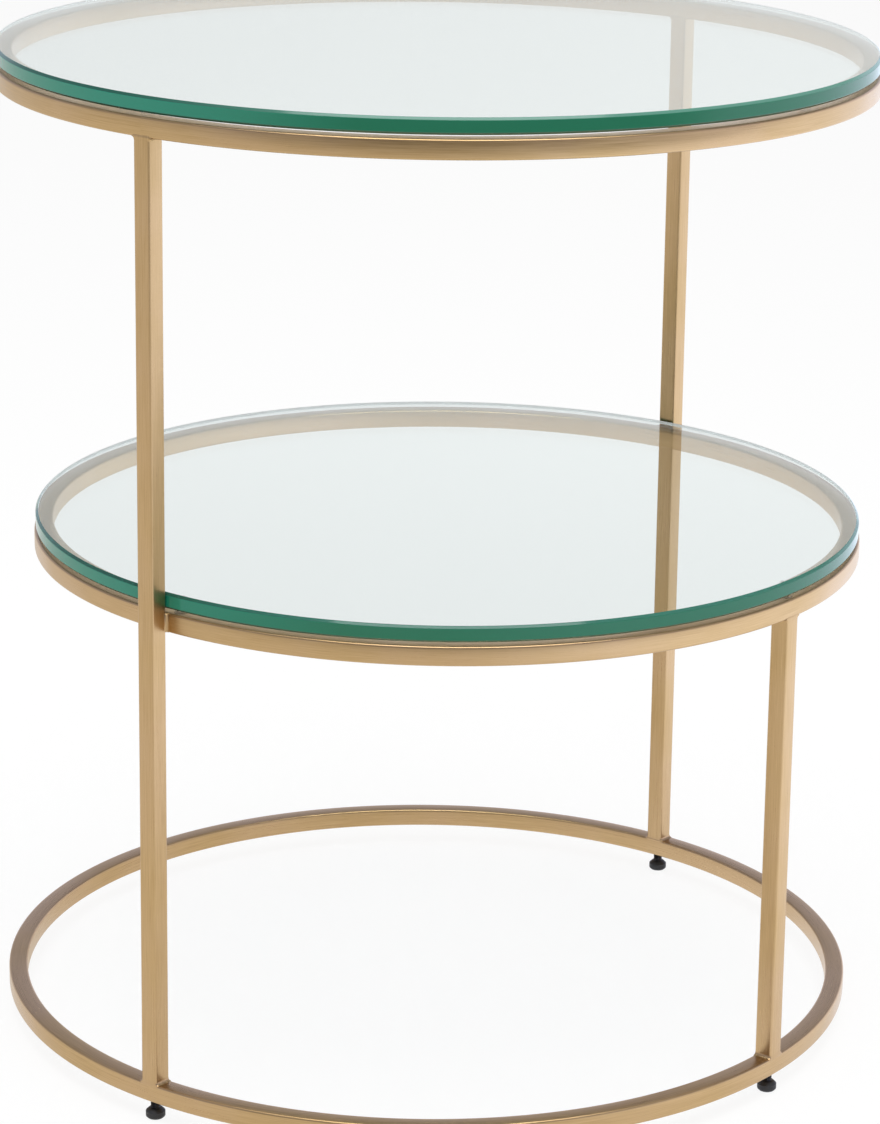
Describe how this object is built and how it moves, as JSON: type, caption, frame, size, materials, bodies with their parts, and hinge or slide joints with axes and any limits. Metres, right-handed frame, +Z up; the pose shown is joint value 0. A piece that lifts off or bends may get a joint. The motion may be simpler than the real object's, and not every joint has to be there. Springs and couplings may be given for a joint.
{
  "type": "tiered side table",
  "caption": "Round side table: glass top and glass lower shelf on rings of square brass tube, joined by upright legs of two heights, on black levelling feet.",
  "frame": {"origin": "on the floor, on the axis of the base ring and the top ring", "axes": "+Z up; the short leg stands at -Y, the two tall legs at -X and +X"},
  "size_m": [0.55, 0.55, 0.63],
  "materials": {
    "frame_tube": "brass-plated, brushed along the tube, satin",
    "weld": "fillet welds under the same plating",
    "glass": "clear float glass, polished bevelled edge, green in the edge",
    "bumper": "clear soft plastic",
    "foot_insert": "zinc",
    "foot_screw": "blackened steel",
    "foot_pad": "black, slightly rough"
  },
  "bodies": {
    "frame": {"base_ring": "frame_tube", "shelf_ring": "frame_tube", "top_ring": "frame_tube", "left_leg": "frame_tube", "front_leg": "frame_tube", "right_leg": "frame_tube", "left_base_weld": "weld", "front_base_weld": "weld", "right_base_weld": "weld", "left_top_weld": "weld", "front_top_weld": "weld", "right_top_weld": "weld", "left_shelf_weld": "weld", "right_shelf_weld": "weld", "top_bumpers": "bumper", "shelf_bumpers": "bumper", "left_foot_insert": "foot_insert", "front_foot_insert": "foot_insert", "right_foot_insert": "foot_insert", "back_foot_insert": "foot_insert"},
    "top_glass": {"top_glass": "glass"},
    "shelf_glass": {"shelf_glass": "glass"},
    "left_foot": {"left_foot_screw": "foot_screw", "left_foot_pad": "foot_pad"},
    "front_foot": {"front_foot_screw": "foot_screw", "front_foot_pad": "foot_pad"},
    "right_foot": {"right_foot_screw": "foot_screw", "right_foot_pad": "foot_pad"},
    "back_foot": {"back_foot_screw": "foot_screw", "back_foot_pad": "foot_pad"}
  },
  "joints": [
    {"name": "top_glass_lift", "type": "slide", "parent": "frame", "child": "top_glass", "axis": [0, 0, 1], "range_m": [0, 0.1]},
    {"name": "shelf_glass_slide", "type": "slide", "parent": "frame", "child": "shelf_glass", "axis": [0, -1, 0], "range_m": [0, 0.56]},
    {"name": "left_foot_level", "type": "slide", "parent": "frame", "child": "left_foot", "axis": [0, 0, -1], "range_m": [-0.0045, 0.003]},
    {"name": "front_foot_level", "type": "slide", "parent": "frame", "child": "front_foot", "axis": [0, 0, -1], "range_m": [-0.0045, 0.003]},
    {"name": "right_foot_level", "type": "slide", "parent": "frame", "child": "right_foot", "axis": [0, 0, -1], "range_m": [-0.0045, 0.003]},
    {"name": "back_foot_level", "type": "slide", "parent": "frame", "child": "back_foot", "axis": [0, 0, -1], "range_m": [-0.0045, 0.003]}
  ]
}
